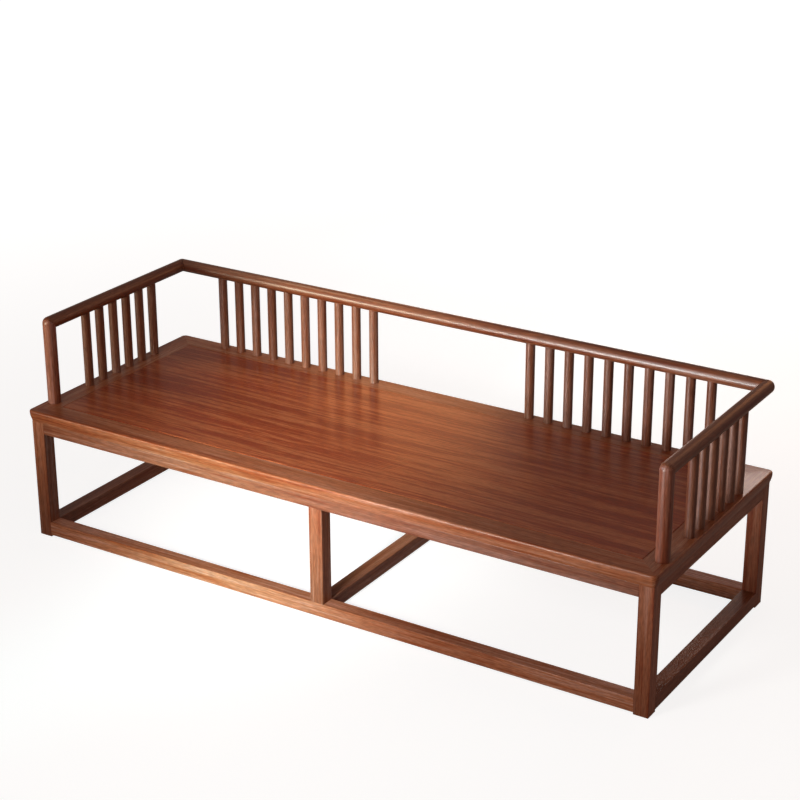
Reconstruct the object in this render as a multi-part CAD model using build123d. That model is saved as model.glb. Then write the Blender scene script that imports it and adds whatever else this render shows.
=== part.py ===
from build123d import *

import math
import os

# Luohan daybed: a low platform on a box frame of square legs and floor stretchers, with a
# comb-back gallery of round spindles along the back and both ends.
# Millimetres. Origin on the floor under the middle of the seat, +X along the length,
# +Y towards the back, +Z up. Every piece of wood is its own solid in its own node.

# ---------------------------------------------------------------- seat
TOP_LENGTH = 2000.0         # seat frame, end to end
TOP_DEPTH = 738.0           # seat frame, front to back
SEAT_HEIGHT = 398.0         # floor to the seat's surface
FRAME_WIDTH = 72.0          # face width of a mitred frame member
FRAME_THICK = 35.0          # thickness of a frame member
CORNER_RADIUS = 16.0        # plan radius of the frame's corners
ARRIS_RADIUS = 5.0          # rounding of the frame's top edge
EDGE_FALL = 6.5             # how far the moulded edge draws in towards its foot
EDGE_UPRIGHT = 14.0         # height of the moulded edge's upright part, from the top
EDGE_BELLY_RADIUS = 40.0    # rounding between the upright and the falling part
PANEL_THICK = 18.0          # floating seat panel
PANEL_GAP = 0.5             # open joint all round the panel
JOINT_VEE = 1.5             # chamfer on both sides of that joint
TONGUE_THICK = 8.0          # panel tongue, held in the frame's groove
TONGUE_LENGTH = 9.0
TONGUE_COVER = 6.0          # wood above the tongue
GROOVE_END_ROOM = 1.0       # room for the panel to move in its groove

# ---------------------------------------------------------------- battens under the panel
BATTEN_POSITIONS = (("left", -1), ("middle", 0), ("right", 1))
BATTEN_SPACING = 480.0
BATTEN_WIDTH = 34.0
BATTEN_DEPTH = 26.0
DOVETAIL_ROOT = 16.0        # width of the sliding key where it leaves the batten
DOVETAIL_HEIGHT = 5.0
DOVETAIL_SLOPE = 12.0       # degrees
BATTEN_TENON_WIDTH = 20.0
BATTEN_TENON_THICK = 8.0
BATTEN_TENON_LENGTH = 18.0
BATTEN_TENON_COVER = 4.0    # frame wood under the batten's tenon

# ---------------------------------------------------------------- base
LEG = 42.0                  # side of a square leg
TOP_OVERHANG = 8.0          # seat edge past the legs' outer faces
APRON_HEIGHT = 35.0
APRON_THICK = 30.0
STRETCHER_HEIGHT = 40.0
STRETCHER_THICK = 42.0
STRETCHER_LIFT = 5.0        # the legs' feet reach this far below the stretchers
EDGE_EASE = 1.5             # rounding of every long edge of the base

# ---------------------------------------------------------------- gallery
GALLERY_RISE = 264.0        # seat's surface to the top of the rails
GALLERY_INSET = 8.0         # rails' outer sides inside the seat's edge
RAIL_DIAMETER = 38.0        # rails and front posts
POST_SETBACK = 70.0         # seat's front edge to the front of a post's head
SPINDLE_DIAMETER = 27.0
SPINDLE_PITCH = 61.5
BACK_SPINDLES = 10          # in each of the two groups of the back
ARM_SPINDLES = 6            # in each arm
CORNER_GAP = 156.0          # back corner to the first spindle of the back

# ---------------------------------------------------------------- joinery
JOINT_CLEARANCE = 0.15      # between a tenon and its mortise, each side
COPE_CLEARANCE = 0.2        # between a coped spindle head and its rail
LEG_TENON = 16.0            # square tenon on a leg's head
LEG_TENON_HEIGHT = 15.0
BASE_TENON_THICK = 14.0     # tenons of aprons and stretchers
BASE_TENON_LENGTH = 26.0
BASE_TENON_SHOULDER = 4.0   # shoulder above and below each staggered tenon
MITRE_TENON_THICK = 8.0     # hidden tenon across the frame's mitres
MITRE_TENON_NEAR = 34.0     # its nearer and farther edge, from the frame's outer edge
MITRE_TENON_FAR = 58.0
MITRE_TENON_END_WOOD = 14.0
RAIL_TENON = 12.0           # square tenon across the round mitres
RAIL_TENON_REACH = 10.0
POST_TENON = 20.0           # square tenon on a front post's foot
POST_TENON_DEPTH = 24.0
SPINDLE_TENON = 13.0        # square tenon at both ends of a spindle
SPINDLE_TENON_DEPTH = 14.0

# ---------------------------------------------------------------- places that follow
HALF_LENGTH = TOP_LENGTH / 2
HALF_DEPTH = TOP_DEPTH / 2
FRAME_BOTTOM = SEAT_HEIGHT - FRAME_THICK
INNER_X = HALF_LENGTH - FRAME_WIDTH
INNER_Y = HALF_DEPTH - FRAME_WIDTH
PANEL_BOTTOM = SEAT_HEIGHT - PANEL_THICK
TONGUE_Z = (SEAT_HEIGHT - TONGUE_COVER - TONGUE_THICK, SEAT_HEIGHT - TONGUE_COVER)

LEG_X = HALF_LENGTH - TOP_OVERHANG
LEG_Y = HALF_DEPTH - TOP_OVERHANG
APRON_Z = (FRAME_BOTTOM - APRON_HEIGHT, FRAME_BOTTOM)
STRETCHER_Z = (STRETCHER_LIFT, STRETCHER_LIFT + STRETCHER_HEIGHT)

RAIL_RADIUS = RAIL_DIAMETER / 2
RAIL_Z = SEAT_HEIGHT + GALLERY_RISE - RAIL_RADIUS
GALLERY_X = HALF_LENGTH - GALLERY_INSET - RAIL_RADIUS
GALLERY_Y = HALF_DEPTH - GALLERY_INSET - RAIL_RADIUS
POST_Y = POST_SETBACK + RAIL_RADIUS - HALF_DEPTH

SIDES = (("left", -1), ("right", 1))
ENDS = (("front", -1), ("back", 1))
CORNERS = [(f"leg_{end}_{side}", sx, sy) for end, sy in ENDS for side, sx in SIDES]


# ---------------------------------------------------------------- helpers
def block(x, y, z):
    """A square-cornered block between two limits along each axis."""
    limits = (x, y, z)
    centre = [(low + high) / 2 for low, high in limits]
    return Pos(*centre) * Box(*[high - low for low, high in limits])


def mortise(x, y, z):
    """The hole for a tenon with these limits, looser by the joint's clearance all round."""
    return block(*[(low - JOINT_CLEARANCE, high + JOINT_CLEARANCE) for low, high in (x, y, z)])


def about(centre, width):
    """Limits of something width across, centred on centre."""
    return (centre - width / 2, centre + width / 2)


def inward(side, outer, width):
    """Limits of a member whose outer face stands at side * outer, width deep inwards."""
    return tuple(sorted((side * outer, side * (outer - width))))


def eased(solid, axis):
    """A straight member with its long edges, along axis, slightly rounded."""
    return fillet(solid.edges().filter_by(axis), EDGE_EASE)


# ---------------------------------------------------------------- tenons, as limits x, y, z
def leg_tenon(sx, sy):
    """A corner leg's head tenon, on the mitre line of the frame above it."""
    return (
        about(sx * (LEG_X - LEG / 2), LEG_TENON),
        about(sy * (LEG_Y - LEG / 2), LEG_TENON),
        (FRAME_BOTTOM, FRAME_BOTTOM + LEG_TENON_HEIGHT),
    )


def staggered(z, upper):
    """Half of a member's height, less its shoulders: long members use the upper half."""
    low, high = z
    middle = (low + high) / 2
    if upper:
        return (middle + BASE_TENON_SHOULDER / 2, high - BASE_TENON_SHOULDER)
    return (low + BASE_TENON_SHOULDER, middle - BASE_TENON_SHOULDER / 2)


def long_tenon(sx, sy, thick, z):
    """Tenon of a front or back member into a corner leg: it runs along X, in the upper half."""
    return (
        inward(sx, LEG_X - LEG + BASE_TENON_LENGTH, BASE_TENON_LENGTH),
        about(sy * (LEG_Y - thick / 2), BASE_TENON_THICK),
        staggered(z, upper=True),
    )


def end_tenon(sx, sy, thick, z):
    """Tenon of an end member into a corner leg: it runs along Y, in the lower half."""
    return (
        about(sx * (LEG_X - thick / 2), BASE_TENON_THICK),
        inward(sy, LEG_Y - LEG + BASE_TENON_LENGTH, BASE_TENON_LENGTH),
        staggered(z, upper=False),
    )


def cross_tenon(sy):
    """Tenon of the middle stretcher into the front or back stretcher, in the lower half."""
    face = LEG_Y - STRETCHER_THICK
    return (
        about(0, BASE_TENON_THICK),
        inward(sy, face + BASE_TENON_LENGTH, BASE_TENON_LENGTH),
        staggered(STRETCHER_Z, upper=False),
    )


def middle_leg_tenons(sy):
    """Foot tenon into the stretcher and head tenon into the apron."""
    foot_y = about(sy * (LEG_Y - LEG / 2), LEG_TENON)
    head_y = about(sy * (LEG_Y - min(LEG, APRON_THICK) / 2), BASE_TENON_THICK)
    foot = (about(0, LEG_TENON), foot_y, staggered(STRETCHER_Z, upper=True)[:1] + STRETCHER_Z[1:])
    head_z = (APRON_Z[0], APRON_Z[0] + APRON_HEIGHT / 2)
    return foot, (about(0, LEG_TENON), head_y, head_z)


def mitre_tenon(sx, sy):
    """Hidden tenon of a long frame member, reaching through the mitre into the end member."""
    top = TONGUE_Z[1]
    return (
        inward(sx, HALF_LENGTH - MITRE_TENON_END_WOOD, MITRE_TENON_FAR - MITRE_TENON_END_WOOD),
        inward(sy, HALF_DEPTH - MITRE_TENON_NEAR, MITRE_TENON_FAR - MITRE_TENON_NEAR),
        (top - MITRE_TENON_THICK, top),
    )


def batten_tenon(x, sy):
    """A batten's end tenon in the long frame member, below the panel's groove."""
    low = FRAME_BOTTOM + BATTEN_TENON_COVER
    return (
        about(x, BATTEN_TENON_WIDTH),
        inward(sy, INNER_Y + BATTEN_TENON_LENGTH, BATTEN_TENON_LENGTH),
        (low, low + BATTEN_TENON_THICK),
    )


def spindle_tenons(x, y):
    """Foot tenon in the seat frame and head tenon in the rail above."""
    head = RAIL_Z - RAIL_RADIUS
    sides = (about(x, SPINDLE_TENON), about(y, SPINDLE_TENON))
    foot = (*sides, (SEAT_HEIGHT - SPINDLE_TENON_DEPTH, SEAT_HEIGHT))
    return foot, (*sides, (head - COPE_CLEARANCE, head + SPINDLE_TENON_DEPTH))


def post_foot_tenon(sx):
    """Tenon of a front post, down into the end frame member."""
    return (
        about(sx * GALLERY_X, POST_TENON),
        about(POST_Y, POST_TENON),
        (SEAT_HEIGHT - POST_TENON_DEPTH, SEAT_HEIGHT),
    )


def post_head_tenon(sx):
    """Tenon standing out of a front post's mitre, up into the arm rail."""
    return (
        about(sx * GALLERY_X, RAIL_TENON),
        about(POST_Y, RAIL_TENON),
        (RAIL_Z - RAIL_RADIUS, RAIL_Z + RAIL_TENON_REACH),
    )


def arm_tail_tenon(sx):
    """Tenon standing out of an arm rail's rear mitre, into the back rail."""
    return (
        about(sx * GALLERY_X, RAIL_TENON),
        (GALLERY_Y - RAIL_RADIUS, GALLERY_Y + RAIL_TENON_REACH),
        about(RAIL_Z, RAIL_TENON),
    )


# ---------------------------------------------------------------- where the spindles stand
def back_spindle_x(sx, number):
    """Number 1 stands nearest the corner, the last beside the open middle of the back."""
    return sx * (GALLERY_X - CORNER_GAP - (number - 1) * SPINDLE_PITCH)


def arm_spindle_y(number):
    """The arm's spindles are centred between the front post and the back corner."""
    middle = (POST_Y + GALLERY_Y) / 2
    return middle + (number - (ARM_SPINDLES + 1) / 2) * SPINDLE_PITCH


BACK_PLACES = {
    f"back_spindle_{side}_{number:02d}": (back_spindle_x(sx, number), GALLERY_Y)
    for side, sx in SIDES
    for number in range(1, BACK_SPINDLES + 1)
}
ARM_PLACES = {
    f"arm_spindle_{side}_{number}": (sx * GALLERY_X, arm_spindle_y(number))
    for side, sx in SIDES
    for number in range(1, ARM_SPINDLES + 1)
}


# ---------------------------------------------------------------- seat frame and panel
def top_outline(z, inset):
    """The seat frame's rounded outline at height z, drawn in by inset all round."""
    size = (TOP_LENGTH - 2 * inset, TOP_DEPTH - 2 * inset)
    return Pos(0, 0, z) * RectangleRounded(*size, CORNER_RADIUS - inset)


def moulded_slab():
    """The whole top as one slab: upright edge above, falling inwards below, both rounded."""
    shoulder = SEAT_HEIGHT - EDGE_UPRIGHT
    foot = loft([top_outline(FRAME_BOTTOM, EDGE_FALL), top_outline(shoulder, 0)], ruled=True)
    slab = foot + extrude(top_outline(shoulder, 0), EDGE_UPRIGHT)
    levels = slab.edges().filter_by(Plane.XY).group_by(Axis.Z)
    slab = fillet(levels[1], EDGE_BELLY_RADIUS)
    return fillet(slab.edges().filter_by(Plane.XY).group_by(Axis.Z)[-1], ARRIS_RADIUS)


def frame_ring():
    """The moulded slab, opened for the panel, grooved for its tongue and eased at the joint."""
    opening = block((-INNER_X, INNER_X), (-INNER_Y, INNER_Y), (FRAME_BOTTOM, SEAT_HEIGHT))
    reach = TONGUE_LENGTH + GROOVE_END_ROOM - PANEL_GAP
    groove_x = (-INNER_X - reach, INNER_X + reach)
    groove_y = (-INNER_Y - reach, INNER_Y + reach)
    groove_z = (TONGUE_Z[0] - JOINT_CLEARANCE, TONGUE_Z[1] + JOINT_CLEARANCE)
    vee = loft(
        [
            Pos(0, 0, SEAT_HEIGHT - JOINT_VEE) * Rectangle(2 * INNER_X, 2 * INNER_Y),
            Pos(0, 0, SEAT_HEIGHT) * Rectangle(2 * (INNER_X + JOINT_VEE), 2 * (INNER_Y + JOINT_VEE)),
        ],
        ruled=True,
    )
    return moulded_slab() - opening - block(groove_x, groove_y, groove_z) - vee


def mitred_quarter(points):
    """The prism over four plan points that cuts one member out of the frame."""
    plan = Polygon(*points, align=None)
    return Pos(0, 0, FRAME_BOTTOM) * extrude(plan, FRAME_THICK, dir=(0, 0, 1))


def gallery_mortises(places):
    """Holes in the seat frame for the feet of the spindles at these places."""
    return [mortise(*spindle_tenons(x, y)[0]) for x, y in places]


def long_frame_member(ring, sy):
    """Front or back member: it carries the hidden mitre tenons and holds the battens' ends."""
    outer_y, inner_y = sy * HALF_DEPTH, sy * INNER_Y
    points = [(-HALF_LENGTH, outer_y), (HALF_LENGTH, outer_y), (INNER_X, inner_y), (-INNER_X, inner_y)]
    member = ring & mitred_quarter(points)
    for sx in (-1, 1):
        member += block(*mitre_tenon(sx, sy))
        member -= mortise(*leg_tenon(sx, sy))
    for _, step in BATTEN_POSITIONS:
        member -= mortise(*batten_tenon(step * BATTEN_SPACING, sy))
    return member


def end_frame_member(ring, sx):
    """Left or right member: mortised for the mitre tenons, an arm's spindles and a front post."""
    outer_x, inner_x = sx * HALF_LENGTH, sx * INNER_X
    points = [(outer_x, -HALF_DEPTH), (outer_x, HALF_DEPTH), (inner_x, INNER_Y), (inner_x, -INNER_Y)]
    member = ring & mitred_quarter(points)
    for sy in (-1, 1):
        member -= mortise(*mitre_tenon(sx, sy))
        member -= mortise(*leg_tenon(sx, sy))
    return member - mortise(*post_foot_tenon(sx))


def dovetail(x, gap, half_run):
    """A batten's sliding key, wider at its top, along Y."""
    root = DOVETAIL_ROOT / 2 + gap
    height = DOVETAIL_HEIGHT + gap
    crown = root + height * math.tan(math.radians(DOVETAIL_SLOPE))
    profile = Polygon((-root, 0), (root, 0), (crown, height), (-crown, height), align=None)
    return Pos(x, 0, PANEL_BOTTOM) * extrude(Plane.XZ * profile, half_run, both=True)


def seat_panel():
    """One floating board with a tongue all round and dovetail grooves across its underside."""
    half_x, half_y = INNER_X - PANEL_GAP, INNER_Y - PANEL_GAP
    board = block((-half_x, half_x), (-half_y, half_y), (PANEL_BOTTOM, SEAT_HEIGHT))
    board = chamfer(board.faces().sort_by(Axis.Z)[-1].edges(), JOINT_VEE)
    tongue_x = (-half_x - TONGUE_LENGTH, half_x + TONGUE_LENGTH)
    tongue_y = (-half_y - TONGUE_LENGTH, half_y + TONGUE_LENGTH)
    board += block(tongue_x, tongue_y, TONGUE_Z)
    for _, step in BATTEN_POSITIONS:
        board -= dovetail(step * BATTEN_SPACING, JOINT_CLEARANCE, HALF_DEPTH)
    return board


def batten(x):
    """Cross batten: its key slides in the panel, its ends are tenoned into the long members."""
    body = block(about(x, BATTEN_WIDTH), (-INNER_Y, INNER_Y), (PANEL_BOTTOM - BATTEN_DEPTH, PANEL_BOTTOM))
    body += dovetail(x, 0, INNER_Y - PANEL_GAP)
    for sy in (-1, 1):
        body += block(*batten_tenon(x, sy))
    return body


# ---------------------------------------------------------------- base
def corner_leg(sx, sy):
    """Square leg, floor to seat frame, mortised on its two inner faces at top and bottom."""
    leg = block(inward(sx, LEG_X, LEG), inward(sy, LEG_Y, LEG), (0, FRAME_BOTTOM))
    leg = eased(leg, Axis.Z) + block(*leg_tenon(sx, sy))
    for thick, z in ((APRON_THICK, APRON_Z), (STRETCHER_THICK, STRETCHER_Z)):
        leg -= mortise(*long_tenon(sx, sy, thick, z))
        leg -= mortise(*end_tenon(sx, sy, thick, z))
    return leg


def middle_leg(sy):
    """Leg on the long stretcher: its head is notched round the apron and meets the frame."""
    outer, inner = LEG_Y, LEG_Y - LEG
    leg = block(about(0, LEG), inward(sy, outer, LEG), (STRETCHER_Z[1], APRON_Z[0]))
    leg = eased(leg, Axis.Z)
    if LEG > APRON_THICK:
        leg += block(about(0, LEG - 2 * EDGE_EASE), inward(sy, outer - APRON_THICK, LEG - APRON_THICK), APRON_Z)
    for tenon in middle_leg_tenons(sy):
        leg += block(*tenon)
    return leg


def long_member(sy, thick, z):
    """Front or back apron or stretcher between two corner legs."""
    run = LEG_X - LEG
    member = eased(block((-run, run), inward(sy, LEG_Y, thick), z), Axis.X)
    for sx in (-1, 1):
        member += block(*long_tenon(sx, sy, thick, z))
    return member


def end_member(sx, thick, z):
    """Left or right apron or stretcher between two corner legs."""
    run = LEG_Y - LEG
    member = eased(block(inward(sx, LEG_X, thick), (-run, run), z), Axis.Y)
    for sy in (-1, 1):
        member += block(*end_tenon(sx, sy, thick, z))
    return member


def middle_stretcher():
    """Stretcher along the floor from the front stretcher to the back one."""
    run = LEG_Y - STRETCHER_THICK
    member = eased(block(about(0, STRETCHER_THICK), (-run, run), STRETCHER_Z), Axis.Y)
    for sy in (-1, 1):
        member += block(*cross_tenon(sy))
    return member


# ---------------------------------------------------------------- gallery
def ball_ended_bar(length):
    """A round rail along Z, both ends closed by a ball of its own radius."""
    outline = CenterArc((0, 0), RAIL_RADIUS, -90, 90)
    outline += Line((RAIL_RADIUS, 0), (RAIL_RADIUS, length))
    outline += CenterArc((0, length), RAIL_RADIUS, 0, 90)
    outline += Line((0, length + RAIL_RADIUS), (0, -RAIL_RADIUS))
    return revolve(Plane.XZ * make_face(outline), Axis.Z)


def beyond_mitre(corner, kept):
    """The wood past a round mitre: the plane through corner, away from the direction kept."""
    size = 4 * RAIL_DIAMETER
    return Plane(origin=corner, z_dir=kept) * Pos(0, 0, -size / 2) * Box(size, size, size)


def back_rail():
    """Round top rail of the back, mitred into both arm rails."""
    rail = Pos(-GALLERY_X, GALLERY_Y, RAIL_Z) * Rotation(0, 90, 0) * ball_ended_bar(2 * GALLERY_X)
    for sx in (-1, 1):
        rail -= beyond_mitre((sx * GALLERY_X, GALLERY_Y, RAIL_Z), (-sx, 1, 0))
        rail -= mortise(*arm_tail_tenon(sx))
    for x, y in BACK_PLACES.values():
        rail -= mortise(*spindle_tenons(x, y)[1])
    return rail


def arm_rail(sx):
    """Round rail of one arm, mitred down into its front post and back into the back rail."""
    bar = Rotation(-90, 0, 0) * ball_ended_bar(GALLERY_Y - POST_Y)
    rail = Pos(sx * GALLERY_X, POST_Y, RAIL_Z) * bar
    rail -= beyond_mitre((sx * GALLERY_X, GALLERY_Y, RAIL_Z), (sx, -1, 0))
    rail -= beyond_mitre((sx * GALLERY_X, POST_Y, RAIL_Z), (0, 1, 1))
    rail += block(*arm_tail_tenon(sx))
    rail -= mortise(*post_head_tenon(sx))
    for x, y in ARM_PLACES.values():
        if x * sx > 0:
            rail -= mortise(*spindle_tenons(x, y)[1])
    return rail


def front_post(sx):
    """Round post as thick as its rail, with a tenon below and a mitred, rounded head."""
    height = RAIL_Z - SEAT_HEIGHT
    post = Pos(sx * GALLERY_X, POST_Y, SEAT_HEIGHT + height / 2) * Cylinder(RAIL_RADIUS, height)
    post += Pos(sx * GALLERY_X, POST_Y, RAIL_Z) * Sphere(RAIL_RADIUS)
    post -= beyond_mitre((sx * GALLERY_X, POST_Y, RAIL_Z), (0, -1, -1))
    return post + block(*post_foot_tenon(sx)) + block(*post_head_tenon(sx))


def spindle_pattern(rail_direction):
    """A round spindle at the origin, coped to a rail along rail_direction, tenoned both ends."""
    height = RAIL_Z - SEAT_HEIGHT
    body = Pos(0, 0, SEAT_HEIGHT + height / 2) * Cylinder(SPINDLE_DIAMETER / 2, height)
    cope = Cylinder(RAIL_RADIUS + COPE_CLEARANCE, 2 * RAIL_DIAMETER)
    body -= Plane(origin=(0, 0, RAIL_Z), z_dir=rail_direction) * cope
    for tenon in spindle_tenons(0, 0):
        body += block(*tenon)
    return body


# ---------------------------------------------------------------- the pieces by name
ring = frame_ring()
pieces = {}

for end, sy in ENDS:
    pieces[f"seat_frame_{end}"] = long_frame_member(ring, sy)
    pieces[f"apron_{end}"] = long_member(sy, APRON_THICK, APRON_Z)
    pieces[f"stretcher_{end}"] = long_member(sy, STRETCHER_THICK, STRETCHER_Z)
    pieces[f"leg_{end}_middle"] = middle_leg(sy)
    leg_foot, leg_head = middle_leg_tenons(sy)
    pieces[f"stretcher_{end}"] -= [mortise(*leg_foot), mortise(*cross_tenon(sy))]
    pieces[f"apron_{end}"] -= mortise(*leg_head)

for side, sx in SIDES:
    pieces[f"seat_frame_{side}"] = end_frame_member(ring, sx)
    pieces[f"apron_{side}"] = end_member(sx, APRON_THICK, APRON_Z)
    pieces[f"stretcher_{side}"] = end_member(sx, STRETCHER_THICK, STRETCHER_Z)
    pieces[f"arm_rail_{side}"] = arm_rail(sx)
    pieces[f"front_post_{side}"] = front_post(sx)
    own_spindles = [place for place in ARM_PLACES.values() if place[0] * sx > 0]
    pieces[f"seat_frame_{side}"] -= gallery_mortises(own_spindles)

pieces["seat_frame_back"] -= gallery_mortises(BACK_PLACES.values())
pieces["seat_panel"] = seat_panel()
pieces["stretcher_middle"] = middle_stretcher()
pieces["back_rail"] = back_rail()

for name, step in BATTEN_POSITIONS:
    pieces[f"batten_{name}"] = batten(step * BATTEN_SPACING)

for name, sx, sy in CORNERS:
    pieces[name] = corner_leg(sx, sy)

for places, direction in ((BACK_PLACES, (1, 0, 0)), (ARM_PLACES, (0, 1, 0))):
    pattern = spindle_pattern(direction)
    for name, (x, y) in places.items():
        pieces[name] = Pos(x, y, 0) * pattern

for name, piece in pieces.items():
    export_step(piece, f"parts/{name}.step")
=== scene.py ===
import math
from typing import NamedTuple

import bpy
import numpy as np
from bpy.props import (
    FloatProperty,
    FloatVectorProperty,
    IntProperty,
    PointerProperty,
)
from mathutils import Matrix, Vector


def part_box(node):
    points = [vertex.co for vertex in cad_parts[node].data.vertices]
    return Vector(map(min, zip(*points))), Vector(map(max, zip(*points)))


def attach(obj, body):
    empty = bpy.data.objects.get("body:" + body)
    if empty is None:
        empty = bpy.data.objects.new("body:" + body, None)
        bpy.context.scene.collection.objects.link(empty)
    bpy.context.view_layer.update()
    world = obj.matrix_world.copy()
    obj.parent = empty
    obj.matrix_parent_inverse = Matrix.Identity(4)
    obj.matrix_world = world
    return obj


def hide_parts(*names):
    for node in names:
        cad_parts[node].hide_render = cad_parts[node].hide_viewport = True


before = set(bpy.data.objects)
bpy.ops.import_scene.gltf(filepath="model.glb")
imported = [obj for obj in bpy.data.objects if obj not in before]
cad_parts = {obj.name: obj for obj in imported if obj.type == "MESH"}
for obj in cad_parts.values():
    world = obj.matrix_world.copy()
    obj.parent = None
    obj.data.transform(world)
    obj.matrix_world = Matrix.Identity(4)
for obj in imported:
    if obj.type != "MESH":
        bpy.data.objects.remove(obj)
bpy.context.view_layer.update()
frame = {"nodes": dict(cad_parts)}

bl_info = {
    "name": "Luohan Daybed",
    "version": (1, 0, 0),
    "blender": (4, 5, 0),
    "location": "3D View > Sidebar > Daybed",
    "description": "Wood finish, turned gallery and studio stage for a luohan daybed",
    "category": "Object",
}

BODY = "root"
SIDES = (("left", -1), ("right", 1))
X, Y, Z = range(3)


# ---------------------------------------------------------------- places read from the frame
def node_middle(node):
    """Centre of a CAD node's box."""
    low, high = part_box(node)
    return (low + high) / 2


def node_span(node, axis):
    """Lowest and highest value of a CAD node along one axis."""
    low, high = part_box(node)
    return low[axis], high[axis]


def node_radius(node, axis):
    """Half of a CAD node's width along one axis."""
    low, high = node_span(node, axis)
    return (high - low) / 2


SEAT_Z = node_span("seat_panel", Z)[1]
RAIL_RADIUS = node_radius("back_rail", Z)
RAIL_Z = node_span("back_rail", Z)[1] - RAIL_RADIUS
BACK_Y = node_span("back_rail", Y)[1] - RAIL_RADIUS
ARM_X = node_span("arm_rail_right", X)[1] - RAIL_RADIUS
POST_Y = node_middle("front_post_right").y
POST_FOOT_RADIUS = node_radius("front_post_right", X)
SPINDLE_RADIUS = node_radius("back_spindle_left_01", X)


# ---------------------------------------------------------------- settings a user may change
class TimberLook(bpy.types.PropertyGroup):
    """Colours and finish of the wood."""

    frame: FloatVectorProperty(
        name="Seat frame",
        description="Main colour of the wood of the seat frame",
        default=(0.258, 0.079, 0.031),
        size=3,
        min=0.0,
        max=1.0,
        subtype="COLOR",
    )
    panel: FloatVectorProperty(
        name="Seat panel",
        description="Main colour of the wood of the seat panel",
        default=(0.252, 0.050, 0.011),
        size=3,
        min=0.0,
        max=1.0,
        subtype="COLOR",
    )
    base: FloatVectorProperty(
        name="Base",
        description="Main colour of the wood of the legs, aprons and stretchers",
        default=(0.252, 0.078, 0.034),
        size=3,
        min=0.0,
        max=1.0,
        subtype="COLOR",
    )
    rails: FloatVectorProperty(
        name="Rails",
        description="Main colour of the wood of the rails",
        default=(0.158, 0.046, 0.018),
        size=3,
        min=0.0,
        max=1.0,
        subtype="COLOR",
    )
    posts: FloatVectorProperty(
        name="Front posts",
        description="Main colour of the wood of the front posts",
        default=(0.205, 0.067, 0.037),
        size=3,
        min=0.0,
        max=1.0,
        subtype="COLOR",
    )
    spindles: FloatVectorProperty(
        name="Spindles",
        description="Main colour of the wood of the spindles",
        default=(0.151, 0.054, 0.028),
        size=3,
        min=0.0,
        max=1.0,
        subtype="COLOR",
    )
    paler: FloatVectorProperty(
        name="Paler streaks",
        description="Red, green and blue of the palest streaks as multiples of the main colour",
        default=(1.24, 1.66, 2.40),
        size=3,
        min=1.0,
        max=4.0,
    )
    darker: FloatVectorProperty(
        name="Darker streaks",
        description="Red, green and blue of the darkest streaks as multiples of the main colour",
        default=(0.74, 0.47, 0.29),
        size=3,
        min=0.0,
        max=1.0,
    )
    roughness: FloatProperty(
        name="Roughness",
        description="Roughness of the wood under its lacquer",
        default=0.42,
        min=0.05,
        max=1.0,
        subtype="FACTOR",
    )
    lacquer: FloatProperty(
        name="Lacquer",
        description="How much the clear lacquer over the wood shows",
        default=0.6,
        min=0.0,
        max=1.0,
        subtype="FACTOR",
    )
    fibre_depth: FloatProperty(
        name="Fibre depth",
        description="Height of the fibres felt on the surface",
        default=0.00012,
        min=0.0,
        max=0.001,
        precision=5,
        subtype="DISTANCE",
        unit="LENGTH",
    )


class GalleryShape(bpy.types.PropertyGroup):
    """Sizes of the round rails, posts and spindles."""

    rail_radius: FloatProperty(
        name="Rail radius",
        description="Radius of the round rails",
        default=RAIL_RADIUS,
        min=0.005,
        max=0.05,
        subtype="DISTANCE",
        unit="LENGTH",
    )
    post_foot_radius: FloatProperty(
        name="Post foot radius",
        description="Radius of a front post where it stands on the seat frame",
        default=POST_FOOT_RADIUS,
        min=0.005,
        max=0.05,
        subtype="DISTANCE",
        unit="LENGTH",
    )
    spindle_radius: FloatProperty(
        name="Spindle radius",
        description="Radius of every spindle",
        default=SPINDLE_RADIUS,
        min=0.003,
        max=0.03,
        subtype="DISTANCE",
        unit="LENGTH",
    )
    joint_ease: FloatProperty(
        name="Joint easing",
        description="Small chamfer at the mitres and at the feet, which draws the joint as a line",
        default=0.0006,
        min=0.0,
        max=0.003,
        precision=4,
        subtype="DISTANCE",
        unit="LENGTH",
    )
    around: IntProperty(
        name="Faces round a bar",
        description="Number of faces round each rail, post and spindle",
        default=48,
        min=12,
        max=128,
    )


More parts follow.
